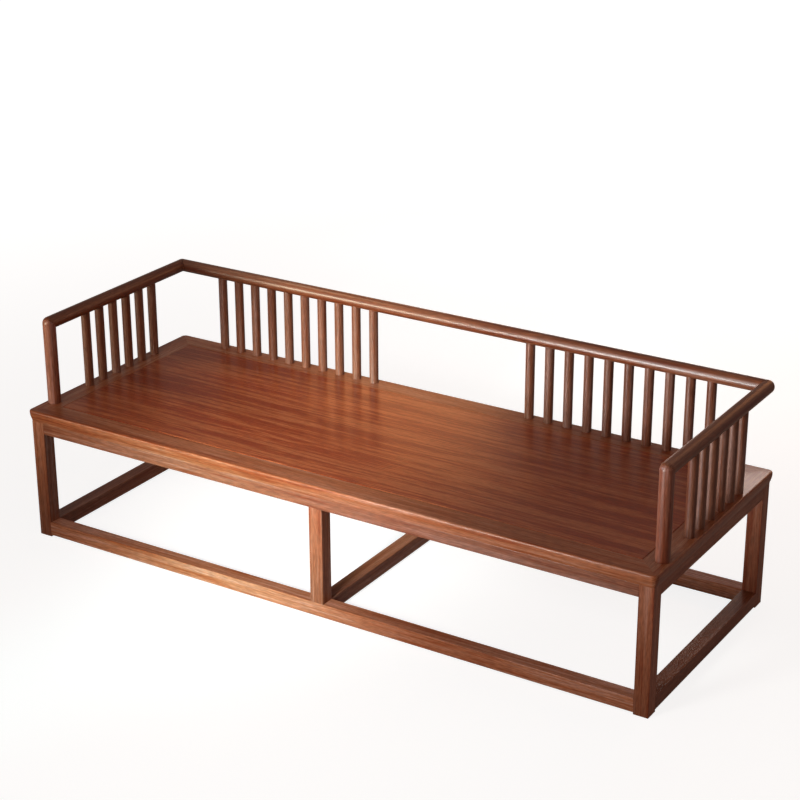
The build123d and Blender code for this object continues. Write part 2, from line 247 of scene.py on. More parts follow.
class StageLook(bpy.types.PropertyGroup):
    """Floor, lamps and camera."""

    floor: FloatVectorProperty(
        name="Floor",
        description="Colour of the floor",
        default=(0.34, 0.34, 0.34),
        size=3,
        min=0.0,
        max=1.0,
        subtype="COLOR",
    )
    key: FloatProperty(
        name="Key lamp",
        description="Power of the wide soft lamp in front of the bed",
        default=175.0,
        min=0.0,
        soft_max=1000.0,
        unit="POWER",
    )
    pool: FloatProperty(
        name="Pool lamp",
        description="Power of the soft lamp that brightens the middle of the bed",
        default=1130.0,
        min=0.0,
        soft_max=2000.0,
        unit="POWER",
    )
    low_glow: FloatProperty(
        name="Low glow lamp",
        description="Power of the low lamp from the left on the back rail and the left spindles",
        default=640.0,
        min=0.0,
        soft_max=1000.0,
        unit="POWER",
    )
    rail_glow: FloatProperty(
        name="Rail glow lamp",
        description="Power of the small panel overhead that lights the left of the back rail",
        default=0.19,
        min=0.0,
        soft_max=10.0,
        unit="POWER",
    )
    post_glow: FloatProperty(
        name="Post glow lamp",
        description="Power of the small lamp from the left on the right front post",
        default=128.0,
        min=0.0,
        soft_max=1000.0,
        unit="POWER",
    )
    front_glow: FloatProperty(
        name="Front glow lamp",
        description="Power of the low lamp on the front, from its middle to the left",
        default=600.0,
        min=0.0,
        soft_max=1000.0,
        unit="POWER",
    )
    low_strip: FloatProperty(
        name="Low strip lamp",
        description="Power of the low strip that draws a highlight along the right of the back rail",
        default=6.6,
        min=0.0,
        soft_max=100.0,
        unit="POWER",
    )
    sky: FloatProperty(
        name="Room light",
        description="Strength of the even light from all round",
        default=0.218,
        min=0.0,
        max=2.0,
        subtype="FACTOR",
    )
    backdrop_in_gloss: FloatProperty(
        name="Backdrop in gloss",
        description="Share of the white backdrop that glossy surfaces reflect",
        default=0.04,
        min=0.0,
        max=1.0,
        subtype="FACTOR",
    )
    floor_lift: FloatProperty(
        name="Floor paleness",
        description="How much paler the floor is to the camera and in gloss than its colour",
        default=0.84,
        min=0.0,
        max=1.0,
        subtype="FACTOR",
    )
    back_panel: FloatProperty(
        name="Back panel",
        description="Power of the soft panel behind the bed, which the seat reflects",
        default=0.24,
        min=0.0,
        soft_max=100.0,
        unit="POWER",
    )
    back_right_panel: FloatProperty(
        name="Back right panel",
        description="Power of the soft panel behind the right half, which the seat reflects",
        default=6.5,
        min=0.0,
        soft_max=100.0,
        unit="POWER",
    )
    corner_panel: FloatProperty(
        name="Corner panel",
        description="Power of the small panel that the back right corner of the seat reflects",
        default=0.006,
        min=0.0,
        soft_max=1.0,
        unit="POWER",
    )
    back_fill: FloatProperty(
        name="Back fill",
        description="Power of the low wide lamp behind the bed, on its back",
        default=5.0,
        min=0.0,
        soft_max=100.0,
        unit="POWER",
    )
    right_panel: FloatProperty(
        name="Right panel",
        description="Power of the soft panel on the right of the bed",
        default=3.0,
        min=0.0,
        soft_max=100.0,
        unit="POWER",
    )
    focal_length: FloatProperty(
        name="Lens",
        description="Focal length of the camera",
        default=89.14,
        min=10.0,
        max=300.0,
        subtype="DISTANCE_CAMERA",
        unit="CAMERA",
    )


# ---------------------------------------------------------------- meshes
SHARP_ANGLE = math.radians(30)  # faces that meet at more than this show an edge
NEARLY_UPRIGHT = 0.9  # Z part of a bar's direction from which it counts as upright
CAP_RINGS = np.array([1 / 3, 2 / 3, 1.0])[:, None]  # rings on an end face, as shares of its radius


def mesh_object(name, points, faces):
    """A smooth-shaded object from an (n, 3) array of points in metres and a list of faces."""
    mesh = bpy.data.meshes.new(name)
    mesh.from_pydata(points.tolist(), [], faces)
    mesh.validate()
    mesh.shade_smooth()
    mesh.set_sharp_from_angle(angle=SHARP_ANGLE)
    mesh.update()
    piece = bpy.data.objects.new(name, mesh)
    bpy.context.scene.collection.objects.link(piece)
    return piece


def tube_faces(rows, around):
    """Faces of a closed tube: a pole point, then rows rings of around points, then a pole point.

    Quads join ring i to ring i + 1 round the tube, and triangles join each pole to its ring.
    """
    ring = np.arange(around)
    after = np.roll(ring, -1)
    base = 1 + np.arange(rows - 1)[:, None] * around
    above = base + around
    quads = np.stack((base + ring, base + after, above + after, above + ring), axis=-1)
    last = 1 + (rows - 1) * around
    first_fan = np.stack((np.zeros(around, int), after + 1, ring + 1), axis=-1)
    last_fan = np.stack((np.full(around, last + around), last + ring, last + after), axis=-1)
    return quads.reshape(-1, 4).tolist() + first_fan.tolist() + last_fan.tolist()


def mitred_end(radius, lean, ease, rows=20):
    """Distance along the bar and radius of each ring at an end mitred into a bar at a right angle.

    lean is the share, from -1 to 1, by which each line along the bar leans towards the other
    bar. The mitre plane cuts a line at distance radius * lean. On the outer side, where lean is
    below 0, the line first runs over a ball of the bar's own radius, from the angle whose
    tangent is -lean, so that the corner is round outside and square inside.
    """
    turn = np.arctan(np.maximum(0, -lean))
    arc = radius * turn
    length = arc + 2 * radius - radius * np.maximum(0, lean)
    travelled = ease + (length - ease) * np.linspace(0, 1, rows)[:, None]
    angle = np.clip(arc - travelled, 0, None) / radius
    straight = np.clip(travelled - arc, 0, None)
    along = radius * np.maximum(0, lean) + straight - radius * np.sin(angle)
    across = radius * np.cos(angle)
    edge = np.cos(turn) * (radius - ease)
    cap = CAP_RINGS * edge
    return np.vstack((cap * lean, along)), np.vstack((cap, across))


def flat_end(radius, around, ease):
    """Distance and radius of each ring at a square end with a small chamfer.

    The end face starts at radius - ease, and the side starts ease further along the bar.
    """
    level = np.zeros(around)
    along = [level, level + ease, level + 2 * radius]
    across = [level + radius - ease, level + radius, level + radius]
    return np.vstack(along), np.vstack(across)


def coped_end(radius, aside, rail_radius):
    """Distance and radius of each ring at an end cut to fit under a round rail.

    The distance is counted back from the rail's axis. aside is each line's share of the radius,
    measured square to the rail. A point at radius r meets the rail short of its axis by the
    root of the rail's radius squared less (r * aside) squared.
    """
    across = CAP_RINGS * radius * np.ones_like(aside)
    along = np.sqrt(rail_radius**2 - (across * aside) ** 2)
    tail = np.full_like(aside, 2 * rail_radius)
    return np.vstack((along, tail)), np.vstack((across, np.full_like(aside, radius)))


def round_bar(name, start, end, start_rings, end_rings, around):
    """A round bar from start to end, with rings worked out by the end functions above.

    Ring points lie at start + d * along + across * (cos v * e1 + sin v * e2), and at the other
    end the distance is counted back from end. d is the bar's direction, and e1 and e2 are square
    to it, so that e1, e2 and d form a right-handed set.
    """
    start, end = np.array(start, float), np.array(end, float)
    direction = (end - start) / np.linalg.norm(end - start)
    radial = bar_radials(direction, around)
    along, across = start_rings
    first = start + along[..., None] * direction + across[..., None] * radial
    along, across = end_rings
    last = (end - along[..., None] * direction + across[..., None] * radial)[::-1]
    rings = np.concatenate((first, last))
    poles = (rings[:1].mean(axis=1), rings[-1:].mean(axis=1))
    points = np.concatenate((poles[0], rings.reshape(-1, 3), poles[1]))
    return mesh_object(name, points, tube_faces(len(rings), around))


def bar_radials(direction, around):
    """Unit vectors square to a bar's direction, evenly round it, right-handed about it."""
    upright = abs(direction[Z]) >= NEARLY_UPRIGHT
    reference = np.array((0.0, 1.0, 0.0) if upright else (0.0, 0.0, 1.0))
    side = np.cross(reference, direction)
    side /= np.linalg.norm(side)
    over = np.cross(direction, side)
    angle = np.linspace(0, 2 * math.pi, around, endpoint=False)[:, None]
    return np.cos(angle) * side + np.sin(angle) * over


def lean_towards(direction, other, around):
    """How much each line along a bar leans towards another direction, from -1 to 1."""
    return bar_radials(np.array(direction, float), around) @ np.array(other, float)


# ---------------------------------------------------------------- materials
def add_node(tree, kind, place, **settings):
    """A new node at a place in a tree, with its properties and input values set by name."""
    node = tree.nodes.new(kind)
    node.location = place
    for name, value in settings.items():
        if hasattr(node, name) and name not in node.inputs:
            setattr(node, name, value)
        else:
            node.inputs[name].default_value = value
    return node


def scaled(tree, vector, factors, place):
    """vector times factors, component by component."""
    node = add_node(tree, "ShaderNodeVectorMath", place, operation="MULTIPLY")
    node.inputs[1].default_value = factors
    tree.links.new(vector, node.inputs[0])
    return node.outputs[0]


def noise(tree, vector, detail, place, roughness=0.55):
    """Fractal noise, from 0 to 1, read at vector."""
    settings = {"Scale": 1.0, "Detail": detail, "Roughness": roughness}
    node = add_node(tree, "ShaderNodeTexNoise", place, **settings)
    tree.links.new(vector, node.inputs["Vector"])
    return node.outputs[0]


def spread(tree, value, low, high, place, out=(0.0, 1.0)):
    """value carried from low..high to out, smoothly and clamped."""
    node = add_node(tree, "ShaderNodeMapRange", place, interpolation_type="SMOOTHSTEP")
    node.inputs["From Min"].default_value = low
    node.inputs["From Max"].default_value = high
    node.inputs["To Min"].default_value = out[0]
    node.inputs["To Max"].default_value = out[1]
    tree.links.new(value, node.inputs["Value"])
    return node.outputs["Result"]


def calculate(tree, operation, first, second, place):
    """One arithmetic step; each operand is a socket or a number."""
    node = add_node(tree, "ShaderNodeMath", place, operation=operation)
    for socket, operand in zip(node.inputs, (first, second)):
        if isinstance(operand, (int, float)):
            socket.default_value = operand
        else:
            tree.links.new(operand, socket)
    return node.outputs[0]


def blended(tree, factor, first, second, place):
    """The colours first and second mixed by factor; each of the three is a socket or a value."""
    node = add_node(tree, "ShaderNodeMix", place, data_type="RGBA", blend_type="MIX")
    sockets = (node.inputs[0], node.inputs[6], node.inputs[7])
    for socket, operand in zip(sockets, (factor, first, second)):
        if isinstance(operand, bpy.types.NodeSocket):
            tree.links.new(operand, socket)
        else:
            socket.default_value = operand
    return node.outputs[2]


GRAIN = "Straight grain"
WANDER = 0.012  # how far the streaks wander sideways, in metres
WANDER_STRETCH = (1.1, 3.0, 3.0)  # turns of that wander per metre along and across the grain
FIGURE_LAYERS = (  # features per metre along, across and across the grain, and detail
    ((0.5, 6.0, 6.0), 1.0),  # boards
    ((1.4, 16.0, 16.0), 1.0),  # bands
    ((2.6, 75.0, 75.0), 2.0),  # streaks
    ((7.0, 240.0, 240.0), 2.0),  # fine lines
    ((45.0, 420.0, 420.0), 1.0),  # fibres
    ((40.0, 1100.0, 1100.0), 0.0),  # pores
)
FIGURE_SHARES = (0.22, 0.42, 0.36)  # of bands, streaks and fine lines in the figure
DARK_TONE, HEART_TONE, PALE_TONE = 0.36, 0.50, 0.66  # figure where each colour is full
NOISE_RANGE = (0.25, 0.75)  # most of what a layer of noise holds
BOARD_SHADES = (0.90, 1.10)  # brightness of the darkest and the palest board
FIBRE_SHADES = (0.76, 1.24)  # brightness of the darkest and the palest fibre
PORE_EDGE = (0.66, 0.78)  # noise where a pore begins and where it is full
PORE_TINT = 0.55  # how far a pore takes the dark colour
ROUGHNESS_SWING = 0.10  # from the smoothest to the roughest fine line
FIBRE_RIDGE = 0.6  # height of a fibre against the depth of a pore
RELIEF_STRENGTH = 0.5
WOOD_SPECULAR = 0.22  # the wood's own shine, under the lacquer


def straight_grain_group():
    """Straight-grained hardwood. The grain runs along the vector's X.

    Each layer is noise stretched along the grain. Boards differ a little in tone. Bands, streaks
    and fine lines add up to the figure, which is mixed from the dark, heart and light colours.
    Fibres and pores, the short dark dashes, come last. Roughness follows the fine lines, and
    height follows the fibres and the pores.
    """
    group = bpy.data.node_groups.new(GRAIN, "ShaderNodeTree")
    face = group.interface
    face.new_socket("Vector", in_out="INPUT", socket_type="NodeSocketVector")
    for name in ("Heart", "Light", "Dark"):
        face.new_socket(name, in_out="INPUT", socket_type="NodeSocketColor")
    for name, value in (("Streaks", 1.0), ("Pores", 1.0), ("Roughness", 0.4)):
        socket = face.new_socket(name, in_out="INPUT", socket_type="NodeSocketFloat")
        socket.default_value = value
    face.new_socket("Color", in_out="OUTPUT", socket_type="NodeSocketColor")
    face.new_socket("Roughness", in_out="OUTPUT", socket_type="NodeSocketFloat")
    face.new_socket("Height", in_out="OUTPUT", socket_type="NodeSocketFloat")

    given = add_node(group, "NodeGroupInput", (-1500, 0))
    result = add_node(group, "NodeGroupOutput", (900, 0))
    vector = given.outputs["Vector"]

    drift = scaled(group, vector, WANDER_STRETCH, (-1300, 500))
    drift = noise(group, drift, 1.0, (-1100, 500))
    drift = calculate(group, "MULTIPLY", drift, WANDER, (-1000, 420))
    shift = add_node(group, "ShaderNodeVectorMath", (-900, 500), operation="SCALE")
    shift.inputs[0].default_value = (0.0, 1.0, 1.0)
    group.links.new(drift, shift.inputs["Scale"])
    bent = add_node(group, "ShaderNodeVectorMath", (-750, 500), operation="ADD")
    group.links.new(vector, bent.inputs[0])
    group.links.new(shift.outputs[0], bent.inputs[1])

    layers = []
    for row, (stretch, detail) in enumerate(FIGURE_LAYERS):
        level = 700 - 250 * row
        stretched = scaled(group, bent.outputs[0], stretch, (-550, level))
        layers.append(noise(group, stretched, detail, (-350, level)))
    board, band, streak, fine, fibre, pore_noise = layers

    parts = []
    for column, (layer, share) in enumerate(zip((band, streak, fine), FIGURE_SHARES)):
        parts.append(calculate(group, "MULTIPLY", layer, share, (-150 + 120 * column, 350)))
    figure = calculate(group, "ADD", parts[0], parts[1], (30, 450))
    figure = calculate(group, "ADD", figure, parts[2], (150, 450))
    centred = calculate(group, "SUBTRACT", figure, HEART_TONE, (270, 350))
    stretched = calculate(group, "MULTIPLY", centred, given.outputs["Streaks"], (350, 350))
    tone = calculate(group, "ADD", stretched, HEART_TONE, (430, 350))

    dark, heart, light = (given.outputs[name] for name in ("Dark", "Heart", "Light"))
    from_dark = spread(group, tone, DARK_TONE, HEART_TONE, (540, 500))
    to_light = spread(group, tone, HEART_TONE, PALE_TONE, (540, 250))
    darker = blended(group, from_dark, dark, heart, (660, 500))
    figured = blended(group, to_light, darker, light, (660, 250))
    board_shade = spread(group, board, *NOISE_RANGE, (-150, 700), BOARD_SHADES)
    fibre_shade = spread(group, fibre, *NOISE_RANGE, (-150, -50), FIBRE_SHADES)
    shade = calculate(group, "MULTIPLY", board_shade, fibre_shade, (240, 650))
    shaded = add_node(group, "ShaderNodeVectorMath", (780, 350), operation="SCALE")
    group.links.new(figured, shaded.inputs[0])
    group.links.new(shade, shaded.inputs["Scale"])
    pore = spread(group, pore_noise, *PORE_EDGE, (-150, -300))
    pore = calculate(group, "MULTIPLY", pore, given.outputs["Pores"], (0, -300))
    pore_tint = calculate(group, "MULTIPLY", pore, PORE_TINT, (120, -300))
    finished = blended(group, pore_tint, shaded.outputs[0], dark, (780, 150))
    group.links.new(finished, result.inputs["Color"])

    swing = calculate(group, "MULTIPLY_ADD", fine, ROUGHNESS_SWING, (240, -100))
    swing.node.inputs[2].default_value = -ROUGHNESS_SWING / 2
    rough = calculate(group, "ADD", given.outputs["Roughness"], swing, (480, -100))
    group.links.new(rough, result.inputs["Roughness"])
    ridge = calculate(group, "MULTIPLY", fibre, FIBRE_RIDGE, (120, -500))
    height = calculate(group, "SUBTRACT", ridge, pore, (300, -500))
    group.links.new(height, result.inputs["Height"])
    return group


GRAIN_TURNS = {
    "x": (0.0, 0.0, 0.0),
    "y": (0.0, 0.0, -math.pi / 2),
    "z": (0.0, math.pi / 2, 0.0),
}


class Finish(NamedTuple):
    """How one kind of piece is cut from the wood and lacquered."""

    along: str  # axis of the grain
    shift: tuple  # moves the figure, in metres
    streaks: float = 1.5  # strength of the streaks
    gloss: float = 0.7  # share of the lacquer
    satin: float = 0.22  # roughness of the lacquer
    tone: tuple = (1.0, 1.0, 1.0)  # red, green and blue as multiples of the main colour; on the aprons and stretchers this paints light and shade into the wood


FINISHES = {
    "frame_long_grain": Finish("x", (0.3, 0.11, 0.07), streaks=1.35, gloss=0.42),
    "frame_end_grain": Finish("y", (0.7, 0.21, 0.05), streaks=1.35),
    "panel_grain": Finish("x", (0.9, 0.4, 0.2), streaks=3.0),
    "batten_grain": Finish("y", (0.2, 0.6, 0.3)),
    "leg_grain": Finish("z", (0.1, 0.33, 0.27), streaks=1.35, gloss=0.5),
    # The aprons' tones paint shade into the base colour: the long aprons much darker, as if in the
    # shade of the seat's overhang, and the end aprons a little darker.
    "apron_long_grain": Finish(
        "x", (0.5, 0.13, 0.37), streaks=1.35, gloss=0.5, tone=(0.69, 0.71, 0.76)
    ),
    "apron_end_grain": Finish(
        "y", (0.4, 0.17, 0.47), streaks=1.35, gloss=0.5, tone=(0.95, 0.92, 0.88)
    ),
    # The stretchers' tones paint light and shade into the base colour: the long stretchers paler, as
    # if more brightly lit, and the end stretchers darker, as if their tops were in shade.
    "stretcher_long_grain": Finish(
        "x", (0.5, 0.13, 0.37), streaks=1.35, gloss=0.5, tone=(1.72, 1.95, 2.10)
    ),
    "stretcher_end_grain": Finish(
        "y", (0.4, 0.17, 0.47), streaks=1.35, gloss=0.5, tone=(0.78, 0.78, 0.78)
    ),
    "rail_long_grain": Finish("x", (0.15, 0.23, 0.57), gloss=1.35, satin=0.36),
    "rail_end_grain": Finish("y", (0.35, 0.43, 0.17), gloss=0.8, satin=0.36),
    "post_grain": Finish("z", (0.45, 0.03, 0.67), gloss=0.9, satin=0.36),
    "spindle_grain": Finish("z", (0.25, 0.53, 0.77), gloss=1.0, satin=0.42),
}


def toned(colour, factors):
    """A colour multiplied channel by channel."""
    return [channel * factor for channel, factor in zip(colour, factors)]


def timber(name, look, colour):
    """The lacquered wood that FINISHES lists by this name, cut from wood of this main colour.

    It is made the first time that it is asked for.
    """
    found = bpy.data.materials.get(name)
    if found:
        return found
    finish = FINISHES[name]
    material = bpy.data.materials.new(name)
    material.use_nodes = True
    tree = material.node_tree
    tree.nodes.clear()
    place = add_node(tree, "ShaderNodeTexCoord", (-900, 0))
    turn = add_node(tree, "ShaderNodeMapping", (-700, 0))
    turn.inputs["Location"].default_value = finish.shift
    turn.inputs["Rotation"].default_value = GRAIN_TURNS[finish.along]
    tree.links.new(place.outputs["Object"], turn.inputs["Vector"])
    grain = add_node(tree, "ShaderNodeGroup", (-450, 0))
    grain.node_tree = bpy.data.node_groups.get(GRAIN) or straight_grain_group()
    tree.links.new(turn.outputs["Vector"], grain.inputs["Vector"])
    # on the aprons and stretchers the finish's tone paints light or shade into the main colour
    heart = toned(colour, finish.tone)
    grain.inputs["Heart"].default_value = (*heart, 1.0)
    grain.inputs["Light"].default_value = (*toned(heart, look.paler), 1.0)
    grain.inputs["Dark"].default_value = (*toned(heart, look.darker), 1.0)
    grain.inputs["Streaks"].default_value = finish.streaks
    grain.inputs["Roughness"].default_value = look.roughness
    relief = add_node(tree, "ShaderNodeBump", (-200, -250))
    relief.inputs["Strength"].default_value = RELIEF_STRENGTH
    relief.inputs["Distance"].default_value = look.fibre_depth
    tree.links.new(grain.outputs["Height"], relief.inputs["Height"])
    wood = add_node(tree, "ShaderNodeBsdfPrincipled", (50, 0))
    wood.inputs["Coat Weight"].default_value = look.lacquer * finish.gloss
    wood.inputs["Coat Roughness"].default_value = finish.satin
    wood.inputs["Specular IOR Level"].default_value = WOOD_SPECULAR
    tree.links.new(grain.outputs["Color"], wood.inputs["Base Color"])
    tree.links.new(grain.outputs["Roughness"], wood.inputs["Roughness"])
    tree.links.new(relief.outputs["Normal"], wood.inputs["Normal"])
    surface = add_node(tree, "ShaderNodeOutputMaterial", (350, 0))
    tree.links.new(wood.outputs["BSDF"], surface.inputs["Surface"])
    return material


def dress(piece, material):
    """Gives a piece one material all over."""
    slots = piece.material_slots
    if not slots:
        piece.data.materials.append(material)
    for entry in slots:
        entry.material = material


def dress_nodes(names, material):
    """Gives each of these CAD nodes one material."""
    for name in names:
        dress(frame["nodes"][name], material)


def nodes_named(start):
    """Names of the CAD nodes that begin with start, in order. There has to be one."""
    names = sorted(name for name in frame["nodes"] if name.startswith(start))
    if not names:
        raise ValueError(f"the frame has no node that begins with {start}")
    return names


def fit_piece(piece, node, material):
    """Lets a new piece stand for its CAD node, ride on the bed and take its finish."""
    dress(piece, material)
    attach(piece, BODY)
    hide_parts(node)


# ---------------------------------------------------------------- seat and base
class DAYBED_OT_seat_frame(bpy.types.Operator):
    """Finish the four mitred members of the seat frame, each with its grain along its length"""

    bl_idname = "daybed.seat_frame"
    bl_label = "Seat frame"

    def execute(self, context):
        look = context.scene.daybed_timber
        long_wood = timber("frame_long_grain", look, look.frame)
        dress_nodes(("seat_frame_front", "seat_frame_back"), long_wood)
        end_wood = timber("frame_end_grain", look, look.frame)
        dress_nodes(("seat_frame_left", "seat_frame_right"), end_wood)
        return {"FINISHED"}


class DAYBED_OT_seat_panel(bpy.types.Operator):
    """Finish the floating seat panel and the battens under it"""

    bl_idname = "daybed.seat_panel"
    bl_label = "Seat panel"

    def execute(self, context):
        look = context.scene.daybed_timber
        dress_nodes(("seat_panel",), timber("panel_grain", look, look.panel))
        battens = ("batten_left", "batten_middle", "batten_right")
        dress_nodes(battens, timber("batten_grain", look, look.base))
        return {"FINISHED"}


BASE_MEMBERS = (  # finish and the nodes that have it
    ("apron_long_grain", ("apron_front", "apron_back")),
    ("apron_end_grain", ("apron_left", "apron_right")),
    ("stretcher_long_grain", ("stretcher_front", "stretcher_back")),
    ("stretcher_end_grain", ("stretcher_left", "stretcher_right", "stretcher_middle")),
)


class DAYBED_OT_base(bpy.types.Operator):
    """Finish the legs, aprons and floor stretchers"""

    bl_idname = "daybed.base"
    bl_label = "Legs, aprons and stretchers"

    def execute(self, context):
        look = context.scene.daybed_timber
        dress_nodes(nodes_named("leg_"), timber("leg_grain", look, look.base))
        for name, members in BASE_MEMBERS:
            dress_nodes(members, timber(name, look, look.base))
        return {"FINISHED"}


# ---------------------------------------------------------------- gallery
class DAYBED_OT_rails(bpy.types.Operator):
    """Make the round back rail and arm rails, mitred at their corners"""

    bl_idname = "daybed.rails"
    bl_label = "Rails"

    def execute(self, context):
        shape = context.scene.daybed_gallery
        look = context.scene.daybed_timber
        radius, ease, around = shape.rail_radius, shape.joint_ease, shape.around
        corners = [(side * ARM_X, BACK_Y, RAIL_Z) for _, side in SIDES]
        forward = lean_towards((1, 0, 0), (0, -1, 0), around)
        end = mitred_end(radius, forward, ease)
        rail = round_bar("rail_back", *corners, end, end, around)
        fit_piece(rail, "back_rail", timber("rail_long_grain", look, look.rails))
        wood = timber("rail_end_grain", look, look.rails)
        for name, side in SIDES:
            front_corner = (side * ARM_X, POST_Y, RAIL_Z)
            back_corner = (side * ARM_X, BACK_Y, RAIL_Z)
            down = lean_towards((0, 1, 0), (0, 0, -1), around)
            inward = lean_towards((0, 1, 0), (-side, 0, 0), around)
            ends = (mitred_end(radius, down, ease), mitred_end(radius, inward, ease))
            rail = round_bar(f"rail_arm_{name}", front_corner, back_corner, *ends, around)
            fit_piece(rail, f"arm_rail_{name}", wood)
        return {"FINISHED"}


class DAYBED_OT_posts(bpy.types.Operator):
    """Make the two round front posts, mitred into the arm rails"""

    bl_idname = "daybed.posts"
    bl_label = "Front posts"

    def execute(self, context):
        shape = context.scene.daybed_gallery
        look = context.scene.daybed_timber
        ease, around = shape.joint_ease, shape.around
        back = lean_towards((0, 0, 1), (0, 1, 0), around)
        foot_end = flat_end(shape.post_foot_radius, around, ease)
        head_end = mitred_end(shape.rail_radius, back, ease)
        wood = timber("post_grain", look, look.posts)
        for name, side in SIDES:
            foot = (side * ARM_X, POST_Y, SEAT_Z)
            head = (side * ARM_X, POST_Y, RAIL_Z)
            post = round_bar(f"post_front_{name}", foot, head, foot_end, head_end, around)
            fit_piece(post, f"front_post_{name}", wood)
        return {"FINISHED"}


LEAST_AROUND = 12  # faces round a spindle, at the least
SPINDLE_SHARE = 2 / 3  # of the faces that a rail has


def make_spindle(node, rail_direction, shape, wood):
    """One round spindle in place of its CAD node, standing on the seat and coped under its rail."""
    middle = node_middle(node)
    foot = (middle.x, middle.y, SEAT_Z)
    head = (middle.x, middle.y, RAIL_Z)
    around = max(LEAST_AROUND, round(shape.around * SPINDLE_SHARE))
    aside = lean_towards((0, 0, 1), np.cross(rail_direction, (0, 0, 1)), around)
    bottom = flat_end(shape.spindle_radius, around, shape.joint_ease / 2)
    top = coped_end(shape.spindle_radius, aside, shape.rail_radius)
    spindle = round_bar(f"turned_{node}", foot, head, bottom, top, around)
    fit_piece(spindle, node, wood)


class DAYBED_OT_back_spindles(bpy.types.Operator):
    """Make the two groups of spindles under the back rail"""

    bl_idname = "daybed.back_spindles"
    bl_label = "Back spindles"

    def execute(self, context):
        shape = context.scene.daybed_gallery
        look = context.scene.daybed_timber
        wood = timber("spindle_grain", look, look.spindles)
        for node in nodes_named("back_spindle"):
            make_spindle(node, (1, 0, 0), shape, wood)
        return {"FINISHED"}


class DAYBED_OT_arm_spindles(bpy.types.Operator):
    """Make the spindles under both arm rails"""

    bl_idname = "daybed.arm_spindles"
    bl_label = "Arm spindles"

    def execute(self, context):
        shape = context.scene.daybed_gallery
        look = context.scene.daybed_timber
        wood = timber("spindle_grain", look, look.spindles)
        for node in nodes_named("arm_spindle"):
            make_spindle(node, (0, 1, 0), shape, wood)
        return {"FINISHED"}


# ---------------------------------------------------------------- stage
def aim(thing, place, target):
    """Puts a lamp at place, pointing at target."""
    thing.location = place
    thing.rotation_mode = "QUATERNION"
    thing.rotation_quaternion = (Vector(target) - Vector(place)).to_track_quat("-Z", "Y")


def spot(cone, radius):
    """Settings of a round lamp with a soft-edged cone of so many degrees."""
    return {"spot_size": math.radians(cone), "spot_blend": 1.0, "shadow_soft_size": radius}


def panel(width, height, cone=180.0):
    """Settings of a rectangular lamp whose light spreads over so many degrees."""
    return {"shape": "RECTANGLE", "size": width, "size_y": height, "spread": math.radians(cone)}


LAMPS = (  # name, which is also that of its power, kind, place, target, colour and settings
    ("key", "SPOT", (-0.5, -3.3, 2.15), (0.30, -0.05, 0.38), (1.0, 1.0, 0.98), spot(60.0, 0.5)),
    ("pool", "SPOT", (0.45, -3.7, 1.9), (-0.23, -0.14, 0.36), (1.0, 1.0, 0.94), spot(19.5, 0.28)),
    ("low_glow", "SPOT", (-2.5, -3.15, 0.74), (-0.42, 0.34, 0.6), (1.0, 0.88, 0.64),
     spot(16.5, 0.3)),
    ("rail_glow", "AREA", (-1.78, 0.12, 2.7), (-0.38, 0.37, 0.66), (1.0, 0.78, 0.48),
     panel(0.4, 0.4, 22.0)),
    ("post_glow", "SPOT", (-1.6, -1.9, 1.3), (0.97, -0.28, 0.65), (0.8, 0.87, 1.0),
     spot(14.0, 0.15)),
    ("front_glow", "SPOT", (-0.9, -3.1, 0.42), (-0.30, -0.37, 0.2), (0.40, 1.0, 1.0),
     spot(16.0, 0.25)),
    ("low_strip", "AREA", (-0.75, -2.9, 0.33), (0.75, 0.3, 0.95), (0.95, 0.97, 0.95),
     panel(1.0, 0.5, 32.0)),
    ("back_panel", "AREA", (-1.36, 2.3, 1.3), (-0.15, 0.2, 0.4), (1.0, 0.39, 0.13),
     panel(0.75, 0.5, 50.0)),
    ("back_right_panel", "AREA", (0.9, 2.4, 1.3), (0.3, 0.2, 0.4), (1.0, 0.43, 0.19),
     panel(0.75, 0.5)),
    ("corner_panel", "AREA", (0.62, 1.2, 0.88), (0.97, 0.28, 0.4), (1.0, 0.8, 0.72),
     panel(0.2, 0.10, 14.0)),
    ("back_fill", "AREA", (-0.8, 3.4, 0.35), (0.0, 0.37, 0.35), (1.0, 0.92, 0.86),
     panel(2.0, 0.4, 100.0)),
    ("right_panel", "AREA", (3.2, -0.4, 1.0), (0.97, 0.0, 0.4), (1.0, 0.6, 0.4),
     panel(0.8, 0.8)),
)


def add_lamp(name, kind, place, target, colour, settings, power):
    """One lamp of the stage, which the camera doesn't see."""
    data = bpy.data.lights.new(name, kind)
    data.energy = power
    data.color = colour
    for key, value in settings.items():
        setattr(data, key, value)
    lamp = bpy.data.objects.new(name, data)
    lamp.visible_camera = False
    bpy.context.scene.collection.objects.link(lamp)
    aim(lamp, place, target)


WHITE = (1.0, 1.0, 1.0, 1.0)
ROOM_TINT = (1.0, 0.76, 0.64, 1.0)
FLOOR_REACH = 60.0  # from the bed's middle to the floor's sides
FLOOR_ROUGHNESS = 0.9
FADE_REACH = (1.0, 5.0)  # metres from the bed's middle over which the floor fades to white


